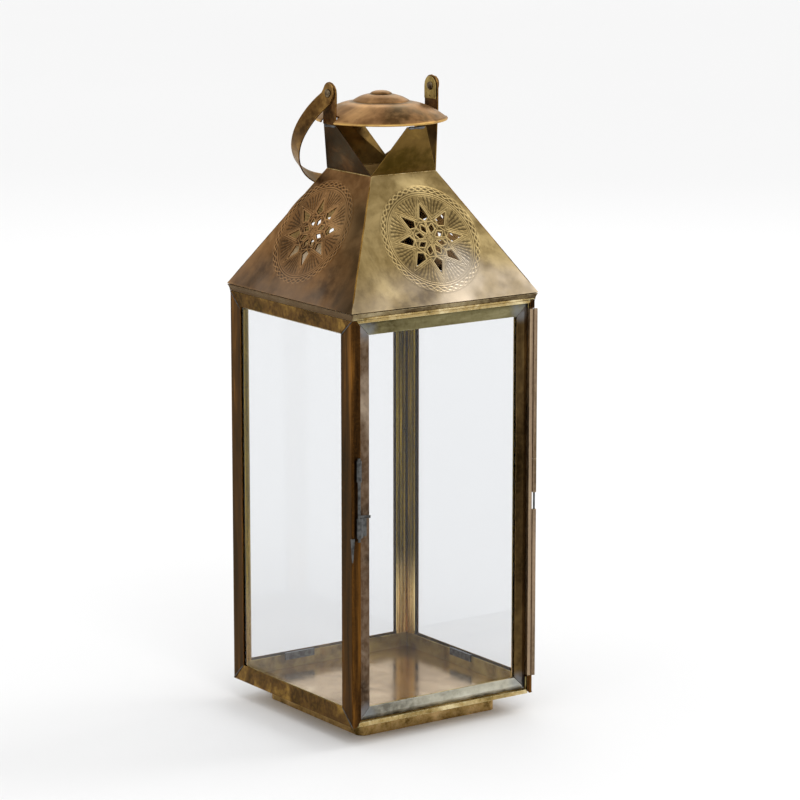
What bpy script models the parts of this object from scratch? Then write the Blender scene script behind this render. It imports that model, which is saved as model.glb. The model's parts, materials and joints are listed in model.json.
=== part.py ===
"""Moroccan metal lantern: a square brass and glass house with a hinged glazed door, a lift pin latch,
a pierced pyramid roof, an open neck under a spun cap, and a flat strap carrying handle.

Frame: metres, +Z up. The origin is the centre of the foot's underside, the door faces -Y,
its hinge is on the +X side, and the handle turns about an axis along X.
"""

import math

import bmesh
import bpy
from mathutils import Matrix, Vector

MM = 0.001

# Driving sizes.
HALF = 85 * MM            # half the width of the square body
FOOT_HEIGHT = 15.3 * MM
BODY_HEIGHT = 3.75 * HALF
ROOF_RISE = 1.08 * HALF
NECK_RISE = 0.44 * HALF
SHEET = 0.8 * MM          # thickness of the folded brass sheet
GLASS = 2.0 * MM
GAP = 0.3 * MM            # clearance between pieces that touch

# Heights that follow from them.
BASE_Z = FOOT_HEIGHT                      # bottom edge of the body
EAVE_Z = BASE_Z + BODY_HEIGHT
NECK_Z = EAVE_Z + ROOF_RISE
NECK_TOP_Z = NECK_Z + NECK_RISE
BAND_HEIGHT = 5.6 * MM                    # hollow moulding under the eave
TOP_Z = EAVE_Z - BAND_HEIGHT - GAP        # top of the posts
TRAY_Z = BASE_Z + GAP                     # underside of the floor tray
TRAY_TOP_Z = TRAY_Z + SHEET

# Frame sections.
FOOT_HALF = 0.76 * HALF
FOOT_CORNER = 6 * MM
POST_WIDTH = 15 * MM
POST_TOE = 3 * MM                         # width left at the mitred ends of a post
POST_ROUND = 1.6 * MM
RAIL_HEIGHT = 13.6 * MM
TOP_RAIL_HEIGHT = 10.8 * MM
INNER_WALL = 12.4 * MM                    # height of the rails' inner walls
CHANNEL = 2 * SHEET + GLASS + 2 * GAP     # depth of a rail from face to back
SILL_LIP = 3.4 * MM
HEAD_LIP = 2.2 * MM
ANGLE_WIDTH = 11 * MM
EAVE_OVERHANG = 1.5 * MM
NECK_HALF = 0.356 * HALF
NECK_TOP_HALF = 0.556 * HALF              # how far out the neck plates lean
NECK_TIP_HALF = 0.1 * HALF                # half the width of a neck plate's top

# Door.
DOOR_RECESS = 2.5 * MM
DOOR_DEPTH = 5.2 * MM
DOOR_MEMBER = 9.8 * MM
DOOR_LEFT = -77.3 * MM
DOOR_RIGHT = 79.6 * MM
DOOR_LOW_Z = BASE_Z + SILL_LIP + GAP
DOOR_HIGH_Z = TOP_Z - HEAD_LIP - GAP
STOP_DEPTH = DOOR_RECESS + DOOR_DEPTH + GAP + SHEET   # back of the stop that the door shuts on

# Hinge: tubes on a wire pin, along the body's front right corner.
HINGE_X = HALF
HINGE_Y = -HALF
KNUCKLE_OUT = 1.7 * MM
KNUCKLE_IN = 1.15 * MM
HINGE_WIRE = 0.8 * MM
LEAF_LOW_Z = BASE_Z + 0.17 * HALF
LEAF_HIGH_Z = BASE_Z + 3.6 * HALF
KNUCKLE_SPLITS = (1.74 * HALF, 1.90 * HALF, 2.21 * HALF)
LEAF_RETURN = 4 * MM                      # flange of the hinge leaf that lies on the door's edge
POST_JOGGLE = 2.1 * MM                    # how far the hinge post steps back behind the tubes

# Latch: a wire that drops through a guide on the post and a keeper on the door.
LATCH_X = -0.947 * HALF
LATCH_WIRE = 1.2 * MM
LATCH_IN = LATCH_WIRE + GAP
LATCH_OUT = LATCH_IN + 0.4 * MM
LATCH_Y = -HALF - GAP - LATCH_OUT
GUIDE_LOW_Z = BASE_Z + 2.25 * HALF
GUIDE_HIGH_Z = BASE_Z + 2.44 * HALF
KEEPER_LOW_Z = BASE_Z + 1.74 * HALF
KEEPER_HIGH_Z = BASE_Z + 1.92 * HALF
TONGUE_LOW_Z = BASE_Z + 1.52 * HALF
TONGUE_TOP = 1.6 * MM                     # width that the tongue folds round each face of the post
TONGUE_TIP = 0.5 * MM
THUMB = (7.5 * MM, -4 * MM)               # tip of the pin's thumb piece, from the pin

# Ears, cap and handle.
EAR = 1.2 * MM
EAR_HALF = 8.5 * MM
EAR_Y = NECK_TOP_HALF + EAR / 2           # outer face of an ear, measured from the centre
PIVOT_Z = BASE_Z + 5.555 * HALF
NOTCH_ROOM = 1.4 * MM                     # clearance round the ears in the cap's notches
RIVET = 1.6 * MM
RIVET_HEAD = 3.4 * MM
STRAP = 1.2 * MM
STRAP_HALF = 0.08 * HALF
TAB_END = 8 * MM
HANDLE_RADIUS = 0.69 * HALF
HANDLE_DROP = 0.45 * HALF                 # pivot line to the centre of the handle's circle
HANDLE_ANGLE = math.radians(52)           # how far the handle hangs below level, behind
TAB_X = EAR_Y + GAP + STRAP / 2           # middle of the handle's tabs

# Medallion piercings: radii of a kite's tip, shoulders and heel, and half its angle at the shoulders.
STAR_POINTS = 8
STAR_KITE = (0.34 * HALF, 0.22 * HALF, 0.18 * HALF, math.radians(12))
PETAL_KITE = (0.155 * HALF, 0.115 * HALF, 0.065 * HALF, math.radians(14))
# Each medallion is placed by hand, so each panel has its own (offset across, share of the slope, turn).
MEDALLION_SPOT = {
    "front": (0.055 * HALF, 0.487, 0.0),
    "right": (0.0, 0.487, 0.0),
    "back": (0.0, 0.487, 0.0),
    "left": (-0.099 * HALF, 0.51, math.radians(-12)),
}

SIDE_TURN = {"front": 0, "right": 90, "back": 180, "left": -90}
CORNER_TURN = {"front_left": 0, "front_right": 90, "back_right": 180, "back_left": -90}

COLOURS = {
    "roof_brass": ((0.36, 0.25, 0.13), 0.42, 1.0),
    "frame_brass": ((0.24, 0.15, 0.07), 0.45, 1.0),
    "bright_brass": ((0.62, 0.47, 0.22), 0.32, 1.0),
    "tray_brass": ((0.50, 0.44, 0.36), 0.22, 1.0),
    "cap_brass": ((0.34, 0.23, 0.14), 0.40, 1.0),
    "latch_wire": ((0.22, 0.23, 0.21), 0.45, 1.0),
    "clear_glass": ((0.93, 0.95, 0.96), 0.03, 0.0),
}


# ---------------------------------------------------------------- shared shaping

def clear_scene():
    for item in list(bpy.data.objects):
        bpy.data.objects.remove(item, do_unlink=True)


def material(name):
    """The named Principled material, made the first time that it is asked for."""
    found = bpy.data.materials.get(name)
    if found:
        return found
    colour, roughness, metallic = COLOURS[name]
    made = bpy.data.materials.new(name)
    made.use_nodes = True
    shader = made.node_tree.nodes["Principled BSDF"]
    shader.inputs["Base Color"].default_value = (*colour, 1.0)
    shader.inputs["Roughness"].default_value = roughness
    shader.inputs["Metallic"].default_value = metallic
    if name == "clear_glass":
        shader.inputs["Transmission Weight"].default_value = 1.0
    return made


def add_object(name, mesh_work, colour, parent=None, turn=0.0, smooth=False):
    """Turns a bmesh into a named object, turned about Z and parented."""
    bmesh.ops.recalc_face_normals(mesh_work, faces=mesh_work.faces)
    mesh = bpy.data.meshes.new(name)
    mesh_work.to_mesh(mesh)
    mesh_work.free()
    if smooth:
        mesh.shade_smooth()
        mesh.set_sharp_from_angle(angle=math.radians(35))
    mesh.materials.append(material(colour))
    made = bpy.data.objects.new(name, mesh)
    bpy.context.scene.collection.objects.link(made)
    made.rotation_euler.z = math.radians(turn)
    made.parent = parent
    return made


def add_pivot(name, place):
    pivot = bpy.data.objects.new(name, None)
    pivot.location = place
    bpy.context.scene.collection.objects.link(pivot)
    return pivot


def loft(rings, closed=False):
    """Closed skin through rings of equal point count: capped at both ends, or joined into a loop."""
    work = bmesh.new()
    rows = [[work.verts.new(point) for point in ring] for ring in rings]
    pairs = list(zip(rows, rows[1:]))
    if closed:
        pairs.append((rows[-1], rows[0]))
    else:
        work.faces.new(rows[0])
        work.faces.new(rows[-1])
    count = len(rows[0])
    for low, high in pairs:
        for i in range(count):
            j = (i + 1) % count
            work.faces.new((low[i], low[j], high[j], high[i]))
    return work


def slab(outline, holes, place):
    """Flat plate with holes. place(u, v, side) gives each corner, for side 0 (front) and 1 (back)."""
    work = bmesh.new()
    edges = []
    for loop in (outline, *holes):
        corners = [work.verts.new((u, v, 0)) for u, v in loop]
        edges += [work.edges.new((a, b)) for a, b in zip(corners, corners[1:] + corners[:1])]
    bmesh.ops.triangle_fill(work, edges=edges, use_beauty=True)
    front = list(work.verts)
    made = bmesh.ops.extrude_face_region(work, geom=list(work.faces), use_keep_orig=True)
    back = [item for item in made["geom"] if isinstance(item, bmesh.types.BMVert)]
    for side, corners in ((0, front), (1, back)):
        for corner in corners:
            corner.co = place(corner.co.x, corner.co.y, side)
    return work


def circle(radius, count, centre=(0, 0), start=0.0, sweep=2 * math.pi):
    """Points round a circle, or along an arc that includes both its ends."""
    steps = count if sweep >= 2 * math.pi else count - 1
    angles = [start + sweep * i / steps for i in range(count)]
    return [(centre[0] + radius * math.cos(a), centre[1] + radius * math.sin(a)) for a in angles]


def boxed(low, high):
    work = bmesh.new()
    size = Vector(high) - Vector(low)
    middle = (Vector(high) + Vector(low)) / 2
    bmesh.ops.create_cube(work, size=1.0, matrix=Matrix.Translation(middle) @ Matrix.Diagonal((*size, 1)))
    return work


def rod(radius, start, end, count=16):
    """Solid round bar between two points."""
    along = Vector(end) - Vector(start)
    turn = along.to_track_quat("Z", "Y").to_matrix()
    ring = circle(radius, count)
    return loft([[turn @ Vector((x, y, 0)) + Vector(place) for x, y in ring] for place in (start, end)])


def add_boolean(target, name, work, operation):
    """Joins or cuts a helper shape that isn't part of the lantern."""
    helper = add_object(name, work, "frame_brass", target.parent)
    helper.hide_render = True
    helper.display_type = "WIRE"
    step = target.modifiers.new(name, "BOOLEAN")
    step.operation = operation
    step.object = helper
    step.solver = "EXACT"


# ---------------------------------------------------------------- foot, floor and frame

def rounded_square(half, corner, z, steps=4):
    points = []
    for i, (sx, sy) in enumerate(((1, 1), (-1, 1), (-1, -1), (1, -1))):
        centre = (sx * (half - corner), sy * (half - corner))
        points += circle(corner, steps + 1, centre, i * math.pi / 2, math.pi / 2)
    return [(x, y, z) for x, y in points]


def add_foot():
    """Folded pan that carries the body: closed underneath, open under the floor tray."""
    inner_half, inner_corner = FOOT_HALF - SHEET, FOOT_CORNER - SHEET
    rings = [
        rounded_square(FOOT_HALF, FOOT_CORNER, 0),
        rounded_square(FOOT_HALF, FOOT_CORNER, FOOT_HEIGHT),
        rounded_square(inner_half, inner_corner, FOOT_HEIGHT),
        rounded_square(inner_half, inner_corner, SHEET),
    ]
    add_object("foot", loft(rings), "frame_brass")


def add_floor_tray():
    side = HALF - CHANNEL - GAP
    front = HALF - STOP_DEPTH - GAP
    add_object("floor_tray", boxed((-side, -front, TRAY_Z), (side, side, TRAY_TOP_Z)), "tray_brass")


def flange_width(z, full):
    """Width of a post's flange, which narrows along the mitres at both ends."""
    low = POST_TOE + (z - BASE_Z) * (POST_WIDTH - POST_TOE) / RAIL_HEIGHT
    high = POST_TOE + (TOP_Z - z) * (POST_WIDTH - POST_TOE) / TOP_RAIL_HEIGHT
    return min(full, low, high)


def mitre_levels(full):
    """Heights where a flange of this width reaches it."""
    share = (full - POST_TOE) / (POST_WIDTH - POST_TOE)
    return [BASE_Z + share * RAIL_HEIGHT, TOP_Z - share * TOP_RAIL_HEIGHT]


def add_post(corner, front_width, side_width, stepped=False):
    """Angle section for one corner, drawn at the front left and turned into place.

    front_width lies on the face that turns from -Y, side_width on the one that turns from -X.
    A stepped post sets its side flange back behind the hinge tubes.
    """
    levels = [BASE_Z, TOP_Z, *mitre_levels(front_width), *mitre_levels(side_width)]
    step_zone = (LEAF_LOW_Z - GAP, LEAF_HIGH_Z + GAP)
    if stepped:
        levels += [z + shift for z in step_zone for shift in (-GAP / 2, GAP / 2)]
    rings = []
    for z in sorted(set(levels)):
        inside = stepped and step_zone[0] < z < step_zone[1]
        back = POST_JOGGLE if inside else 0.0
        side = min(side_width - 2 * SHEET if inside else side_width, flange_width(z, side_width))
        x, y = -HALF + back, -HALF
        bend = circle(POST_ROUND, 4, (x + POST_ROUND, y + POST_ROUND), -math.pi / 2, -math.pi / 2)
        ring = [(y + flange_width(z, front_width), y), *bend, (x, y + side), (x + SHEET, y + side)]
        ring += [(x + SHEET, y + SHEET), (y + flange_width(z, front_width), y + SHEET)]
        rings.append([(px, py, z) for px, py in ring])
    add_object(f"post_{corner}", loft(rings), "frame_brass", turn=CORNER_TURN[corner])


def add_rail(name, side, upright, outer, inner, depth, end_of):
    """Folded channel along one face: an outer wall, a web, and an inner wall that holds the glass.

    upright is +1 for a bottom rail and -1 for a top one, and end_of(depth, height) is half the length.
    """
    edge = BASE_Z if upright > 0 else TOP_Z
    section = [(0, 0), (0, outer), (SHEET, outer), (SHEET, SHEET), (depth - SHEET, SHEET)]
    section += [(depth - SHEET, inner), (depth, inner), (depth, 0)]
    rings = []
    for sign in (-1, 1):
        ring = [(sign * end_of(d, h), d - HALF, edge + upright * h) for d, h in section]
        rings.append(ring)
    add_object(name, loft(rings), "frame_brass", turn=SIDE_TURN[side])


def add_fixed_rails():
    def end_of_rail(upright):
        edge = BASE_Z if upright > 0 else TOP_Z

        def end(depth, height):
            plan_mitre = HALF - depth - 0.7 * GAP
            if depth > SHEET:
                return plan_mitre
            face_mitre = HALF - flange_width(edge + upright * height, POST_WIDTH) - GAP
            return min(plan_mitre, face_mitre)
        return end

    for side in ("left", "back", "right"):
        add_rail(f"bottom_rail_{side}", side, 1, RAIL_HEIGHT, INNER_WALL, CHANNEL, end_of_rail(1))
        add_rail(f"top_rail_{side}", side, -1, TOP_RAIL_HEIGHT, INNER_WALL, CHANNEL, end_of_rail(-1))


def add_door_surround():
    """Sill and head: a thin lip in front, and a wall behind that the door shuts on."""
    inside = HALF - CHANNEL - GAP

    def end_of(upright):
        edge = BASE_Z if upright > 0 else TOP_Z

        def end(depth, height):
            if depth > SHEET:
                return inside
            return min(inside, HALF - flange_width(edge + upright * height, POST_WIDTH) - GAP)
        return end

    add_rail("door_sill", "front", 1, SILL_LIP, INNER_WALL, STOP_DEPTH, end_of(1))
    add_rail("door_head", "front", -1, HEAD_LIP, INNER_WALL, STOP_DEPTH, end_of(-1))


def add_inner_angle(corner, front_depth, side_depth):
    """Angle inside a post that holds the edges of the glass, or stops the door."""
    low, high = BASE_Z + INNER_WALL + GAP, TOP_Z - INNER_WALL - GAP
    x, y = side_depth - SHEET - HALF, front_depth - SHEET - HALF
    ring = [(x, y), (x + ANGLE_WIDTH, y), (x + ANGLE_WIDTH, y + SHEET)]
    ring += [(x + SHEET, y + SHEET), (x + SHEET, y + ANGLE_WIDTH), (x, y + ANGLE_WIDTH)]
    rings = [[(px, py, z) for px, py in ring] for z in (low, high)]
    add_object(f"inner_angle_{corner}", loft(rings), "bright_brass", turn=CORNER_TURN[corner])


def add_frame():
    narrow_left = HALF + DOOR_LEFT - GAP
    narrow_right = HALF - DOOR_RIGHT - GAP
    add_post("front_left", narrow_left, POST_WIDTH)
    add_post("front_right", POST_WIDTH, narrow_right, stepped=True)
    add_post("back_right", POST_WIDTH, POST_WIDTH)
    add_post("back_left", POST_WIDTH, POST_WIDTH)
    add_fixed_rails()
    add_door_surround()
    add_inner_angle("front_left", STOP_DEPTH, CHANNEL)
    add_inner_angle("front_right", CHANNEL, STOP_DEPTH)
    add_inner_angle("back_right", CHANNEL, CHANNEL)
    add_inner_angle("back_left", CHANNEL, CHANNEL)


def add_fixed_glass():
    """Three panes, which stand in the channels. The back one fits between the other two."""
    low, high = BASE_Z + SHEET + GAP, TOP_Z - SHEET - GAP
    outer = HALF - SHEET - GAP
    half_widths = {"left": outer - POST_JOGGLE, "back": outer - GLASS - GAP, "right": outer - POST_JOGGLE}
    for side, half in half_widths.items():
        pane = boxed((-half, -outer, low), (half, -outer + GLASS, high))
        add_object(f"glass_{side}", pane, "clear_glass", turn=SIDE_TURN[side])


def add_rail_clips():
    """Short folded strips hooked over the inner walls, which keep the panes from lifting."""
    half_length = 14 * MM
    top = BASE_Z + INNER_WALL + GAP
    wall_front = CHANNEL - SHEET - HALF
    wall_back = CHANNEL + GAP - HALF
    section = [(wall_front, top), (wall_front, top + SHEET), (wall_back + SHEET, top + SHEET)]
    section += [(wall_back + SHEET, top - 5 * MM), (wall_back, top - 5 * MM), (wall_back, top)]
    for side, middle in (("back", 25 * MM), ("right", 5 * MM)):
        rings = [[(middle + end, y, z) for y, z in section] for end in (-half_length, half_length)]
        add_object(f"glass_clip_{side}", loft(rings), "latch_wire", turn=SIDE_TURN[side])


# ---------------------------------------------------------------- roof and neck

def add_eave_band():
    """Hollow moulding that runs round under the roof, one mitred loop."""
    low, high = EAVE_Z - BAND_HEIGHT, EAVE_Z - SHEET
    hollow = [(HALF + EAVE_OVERHANG * t * t, low + (high - low) * t) for t in (0, 0.35, 0.7, 1)]
    section = [*hollow, (HALF - 6 * MM, high), (HALF - 6 * MM, high - SHEET)]
    section += [(HALF - SHEET, high - SHEET), (HALF - SHEET, low)]
    corners = ((1, 1), (-1, 1), (-1, -1), (1, -1))
    rings = [[(sx * r, sy * r, z) for r, z in section] for sx, sy in corners]
    add_object("eave_band", loft(rings, closed=True), "frame_brass")


def kite(shape, angle):
    tip, shoulder, heel, half_angle = shape
    corners = [(tip, 0), (shoulder, half_angle), (heel, 0), (shoulder, -half_angle)]
    return [(r * math.sin(angle + a), r * math.cos(angle + a)) for r, a in corners]


def medallion_holes(side, length):
    """Eight star points and eight petals, pierced through a roof panel."""
    across, share, first_turn = MEDALLION_SPOT[side]
    half_step = math.pi / STAR_POINTS
    holes = []
    for i in range(STAR_POINTS):
        turn = first_turn + 2 * i * half_step
        holes.append(kite(STAR_KITE, turn))
        holes.append(kite(PETAL_KITE, turn + half_step))
    return [[(u + across, v + share * length) for u, v in hole] for hole in holes]


def leaning_plate(name, side, low, high, pierced=False, half_width=None):
    """Plate from (distance out, height) low to high. Its edges meet the neighbours' on a mitre."""
    (low_out, low_z), (high_out, high_z) = low, high
    length = math.hypot(high_out - low_out, high_z - low_z)
    out_step, up_step = (high_out - low_out) / length, (high_z - low_z) / length
    ends = [(low_out, 0.0), (high_out, length)]
    halves = half_width or (low_out - GAP / 2, high_out - GAP / 2)
    outline = [(-halves[0], 0), (halves[0], 0), (halves[1], length), (-halves[1], length)]

    def place(u, v, back):
        out = low_out + out_step * v - back * SHEET * up_step
        z = low_z + up_step * v + back * SHEET * out_step
        reach = abs(u)
        if any(abs(v - edge) < GAP and reach > out_at - GAP for out_at, edge in ends):
            reach = min(reach, out - GAP / 2)
        return Vector((math.copysign(reach, u), -out, z))

    holes = medallion_holes(side, length) if pierced else []
    add_object(name, slab(outline, holes, place), "roof_brass", turn=SIDE_TURN[side])


def add_roof_and_neck():
    eave = (HALF + EAVE_OVERHANG, EAVE_Z)
    neck = (NECK_HALF, NECK_Z)
    neck_foot = (NECK_HALF, NECK_Z + GAP)
    neck_top = (NECK_TOP_HALF, NECK_TOP_Z)
    neck_widths = (NECK_HALF - GAP, NECK_TIP_HALF)
    for side in SIDE_TURN:
        leaning_plate(f"roof_panel_{side}", side, eave, neck, pierced=True)
        leaning_plate(f"neck_plate_{side}", side, neck_foot, neck_top, half_width=neck_widths)


# ---------------------------------------------------------------- ears and cap

def ear_outline(half, bottom, tip_radius):
    arc = circle(tip_radius, 9, (0, PIVOT_Z), 0, math.pi)
    return [(-half, bottom), (half, bottom), *arc]


def upright(front_y, thickness):
    """Placement of a plate that stands facing -Y."""
    def place(u, v, back):
        return Vector((u, front_y + back * thickness, v))
    return place


def add_ears():
    """Upright plates that carry the handle, each with a thinner plate riveted on its inner side."""
    rivet_hole = circle(RIVET + GAP, 12, (0, PIVOT_Z))
    backing_low = PIVOT_Z - 10 * MM
    pinhole = circle(0.7 * MM, 8, (0, PIVOT_Z - 8 * MM))
    backing_half = EAR_HALF - 1 * MM
    for side in ("left", "right"):
        turn = SIDE_TURN[side]
        outline = ear_outline(EAR_HALF, NECK_TOP_Z + GAP, EAR_HALF)
        ear = slab(outline, [rivet_hole], upright(-EAR_Y, EAR))
        add_object(f"ear_{side}", ear, "frame_brass", turn=turn)
        inner_y = -EAR_Y + EAR + GAP
        outline = ear_outline(backing_half, backing_low, backing_half)
        backing = slab(outline, [rivet_hole, pinhole], upright(inner_y, SHEET))
        add_object(f"ear_backing_{side}", backing, "bright_brass", turn=turn)


def add_rivets():
    """Rivet through the handle's tab, the ear and its backing, with a low head at each end."""
    head = 1.0 * MM
    outer_y = -(TAB_X + STRAP / 2 + GAP)
    inner_y = -EAR_Y + EAR + GAP + SHEET + GAP
    stations = [(outer_y - head, 0.55), (outer_y - head / 3, 0.95), (outer_y, 1.0), (outer_y, None)]
    stations += [(inner_y, None), (inner_y, 1.0), (inner_y + head / 3, 0.95), (inner_y + head, 0.55)]
    rings = []
    for y, share in stations:
        radius = RIVET if share is None else RIVET_HEAD * share
        rings.append([(x, y, PIVOT_Z + z) for x, z in circle(radius, 16)])
    for side in ("left", "right"):
        add_object(f"handle_rivet_{side}", loft(rings), "bright_brass", turn=SIDE_TURN[side], smooth=True)


def add_cap():
    """Spun sheet cap with two steps and a raised button, notched where the ears pass."""
    levels = [(0.60, 5.285), (0.595, 5.30), (0.56, 5.327), (0.49, 5.372), (0.372, 5.425), (0.262, 5.452)]
    levels += [(0.245, 5.462), (0.19, 5.492), (0.125, 5.512), (0.10, 5.518), (0.085, 5.535), (0.03, 5.547)]
    outer = [(r * HALF, BASE_Z + z * HALF) for r, z in levels]
    inner = [(max(r - SHEET / 2, 0.01 * HALF), z - SHEET) for r, z in outer]
    inner[0] = (outer[0][0] - SHEET, outer[0][1])
    profile = outer[::-1] + inner
    rings = [[(x, y, z) for x, y in circle(r, 40)] for r, z in profile]
    cap = add_object("cap", loft(rings), "cap_brass", smooth=True)
    notch_x = EAR_Y - EAR - GAP - SHEET - GAP - NOTCH_ROOM
    notch_half = EAR_HALF + NOTCH_ROOM / 2
    low, high = NECK_TOP_Z - 5 * MM, PIVOT_Z
    for side, sign in (("left", -1), ("right", 1)):
        near, far = sorted((sign * notch_x, sign * 2 * notch_x))
        notch = boxed((near, -notch_half, low), (far, notch_half, high))
        add_boolean(cap, f"cutter_notch_{side}", notch, "DIFFERENCE")


# ---------------------------------------------------------------- door

def add_door_member(name, side, pivot):
    """Folded frame member with a raised front and a slot for the glass, mitred at both ends."""
    width, height = DOOR_RIGHT - DOOR_LEFT, DOOR_HIGH_Z - DOOR_LOW_Z
    middle = Vector(((DOOR_LEFT + DOOR_RIGHT) / 2, 0, (DOOR_LOW_Z + DOOR_HIGH_Z) / 2))
    ridge = 0.36 * DOOR_MEMBER
    fall = 0.9 * MM
    back_lip = DOOR_MEMBER - 2 * MM
    section = [(0, fall), (ridge, 0), (DOOR_MEMBER, fall), (DOOR_MEMBER, fall + SHEET), (ridge, SHEET)]
    section += [(SHEET, fall + SHEET), (SHEET, DOOR_DEPTH - SHEET), (back_lip, DOOR_DEPTH - SHEET)]
    section += [(back_lip, DOOR_DEPTH), (0, DOOR_DEPTH)]
    turns = {"bottom": 0, "hinge": -90, "top": 180, "latch": 90}
    turn = Matrix.Rotation(math.radians(turns[side]), 3, "Y")
    along, across = (width, height) if side in ("bottom", "top") else (height, width)
    rings = []
    for sign in (-1, 1):
        ring = []
        for inset, depth in section:
            end = sign * (along / 2 - inset - GAP / 2)
            local = turn @ Vector((end, 0, inset - across / 2))
            ring.append(local + middle + Vector((0, DOOR_RECESS + depth - HALF, 0)) - pivot.location)
        rings.append(ring)
    add_object(name, loft(rings), "frame_brass", pivot)


def add_door_glass(pivot):
    hold = SHEET + 2 * GAP
    front = DOOR_RECESS + DOOR_DEPTH - SHEET - GAP - GLASS - HALF
    low = Vector((DOOR_LEFT + hold, front, DOOR_LOW_Z + hold)) - pivot.location
    high = Vector((DOOR_RIGHT - hold, front + GLASS, DOOR_HIGH_Z - hold)) - pivot.location
    add_object("door_glass", boxed(low, high), "clear_glass", pivot)


def add_hinge_leaf(pivot):
    """Angle strip that ties the door's hinge stile to the tubes and covers the post."""
    left, right = DOOR_RIGHT + GAP, HINGE_X - KNUCKLE_OUT - GAP
    turned_in = -HALF + LEAF_RETURN
    ring = [(right, -HALF), (left, -HALF), (left, turned_in), (left + SHEET, turned_in)]
    ring += [(left + SHEET, -HALF + SHEET), (right, -HALF + SHEET)]
    rings = [[Vector((x, y, z)) - pivot.location for x, y in ring] for z in (LEAF_LOW_Z, LEAF_HIGH_Z)]
    add_object("door_hinge_leaf", loft(rings), "frame_brass", pivot)


def tube_at(inner, outer, x, y, low, high, origin=Vector((0, 0, 0)), count=16):
    """Upright tube."""
    rings = []
    for radius, z in ((outer, low), (outer, high), (inner, high), (inner, low)):
        rings.append([Vector((px, py, z)) - origin for px, py in circle(radius, count, (x, y))])
    return loft(rings, closed=True)


def add_hinge(pivot):
    """Long tubes on the door above and below a short one on the post, all on one wire."""
    split_low, split_middle, split_high = (BASE_Z + z for z in KNUCKLE_SPLITS)
    door_tubes = {"bottom": (LEAF_LOW_Z, split_low), "top": (split_high + GAP, LEAF_HIGH_Z)}
    for name, (low, high) in door_tubes.items():
        tube = tube_at(KNUCKLE_IN, KNUCKLE_OUT, HINGE_X, HINGE_Y, low, high, pivot.location)
        add_object(f"door_knuckle_{name}", tube, "frame_brass", pivot, smooth=True)
    tube = tube_at(KNUCKLE_IN, KNUCKLE_OUT, HINGE_X, HINGE_Y, split_middle, split_high)
    add_object("post_knuckle", tube, "frame_brass", smooth=True)
    wire = rod(HINGE_WIRE, (HINGE_X, HINGE_Y, LEAF_LOW_Z), (HINGE_X, HINGE_Y, LEAF_HIGH_Z), 12)
    add_object("hinge_pin", wire, "latch_wire", smooth=True)


def latch_bracket(foot_line, low, high, origin=Vector((0, 0, 0))):
    """Tube with a foot strip, drawn in plan: foot_line runs from the tube's front tangent to its back."""
    centre = (LATCH_X, LATCH_Y)
    arc = circle(LATCH_OUT, 15, centre, math.radians(60), math.radians(270))
    hole = circle(LATCH_IN, 14, centre)

    def place(u, v, back):
        return Vector((u, v, high if back else low)) - origin

    return slab([*arc, *foot_line], [hole], place)


def add_latch_guide():
    """Tube soldered to the corner post, which the latch wire slides in."""
    near, far = -HALF - GAP - SHEET, -HALF - GAP
    right = DOOR_LEFT - 2 * GAP
    foot_line = [(right, near), (right, far)]
    add_object("latch_guide", latch_bracket(foot_line, GUIDE_LOW_Z, GUIDE_HIGH_Z), "frame_brass")


def add_latch_keeper(pivot):
    """Tube on a stepped tab that reaches back to the door's latch stile."""
    near, far = -HALF - GAP - SHEET, -HALF - GAP
    face = -HALF + DOOR_RECESS - GAP
    step = DOOR_LEFT + 1.2 * MM
    tip = DOOR_LEFT + 6 * MM
    foot_line = [(step, near), (step, face - SHEET), (tip, face - SHEET)]
    foot_line += [(tip, face), (step - SHEET, face), (step - SHEET, far)]
    work = latch_bracket(foot_line, KEEPER_LOW_Z, KEEPER_HIGH_Z, pivot.location)
    add_object("latch_keeper", work, "latch_wire", pivot)


def add_latch_pin(pivot):
    """Wire that drops through both tubes, with a bent thumb piece resting on the keeper."""
    low = KEEPER_LOW_Z - 3 * MM - pivot.location.z
    high = GUIDE_HIGH_Z + 2 * MM - pivot.location.z
    wire = rod(LATCH_WIRE, (0, 0, low), (0, 0, high))
    pin = add_object("latch_pin", wire, "latch_wire", pivot, smooth=True)
    thumb_z = KEEPER_HIGH_Z + LATCH_WIRE + GAP - pivot.location.z
    thumb = rod(0.9 * LATCH_WIRE, (0, 0, thumb_z), (*THUMB, thumb_z), 12)
    add_boolean(pin, "helper_thumb", thumb, "UNION")


def add_latch_tongue():
    """Tapered tongue soldered down the edge of the post, under the keeper."""
    edge = -HALF - GAP
    rings = []
    for z, width in ((TONGUE_LOW_Z, TONGUE_TIP), (KEEPER_LOW_Z - GAP, TONGUE_TOP)):
        inner, outer = edge + width, edge - width / 2
        corners = [(edge, inner), (edge, edge), (inner, edge), (inner, outer), (outer, outer), (outer, inner)]
        rings.append([(x, y, z) for x, y in corners])
    add_object("latch_tongue", loft(rings), "latch_wire")


def add_door():
    pivot = add_pivot("door_axis", (HINGE_X, HINGE_Y, 0))
    bpy.context.view_layer.update()
    add_door_member("door_rail_bottom", "bottom", pivot)
    add_door_member("door_rail_top", "top", pivot)
    add_door_member("door_stile_hinge", "hinge", pivot)
    add_door_member("door_stile_latch", "latch", pivot)
    add_door_glass(pivot)
    add_hinge_leaf(pivot)
    add_hinge(pivot)
    add_latch_keeper(pivot)


def add_latch():
    add_latch_guide()
    add_latch_pin(add_pivot("latch_axis", (LATCH_X, LATCH_Y, KEEPER_HIGH_Z)))
    add_latch_tongue()


# ---------------------------------------------------------------- handle

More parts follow.
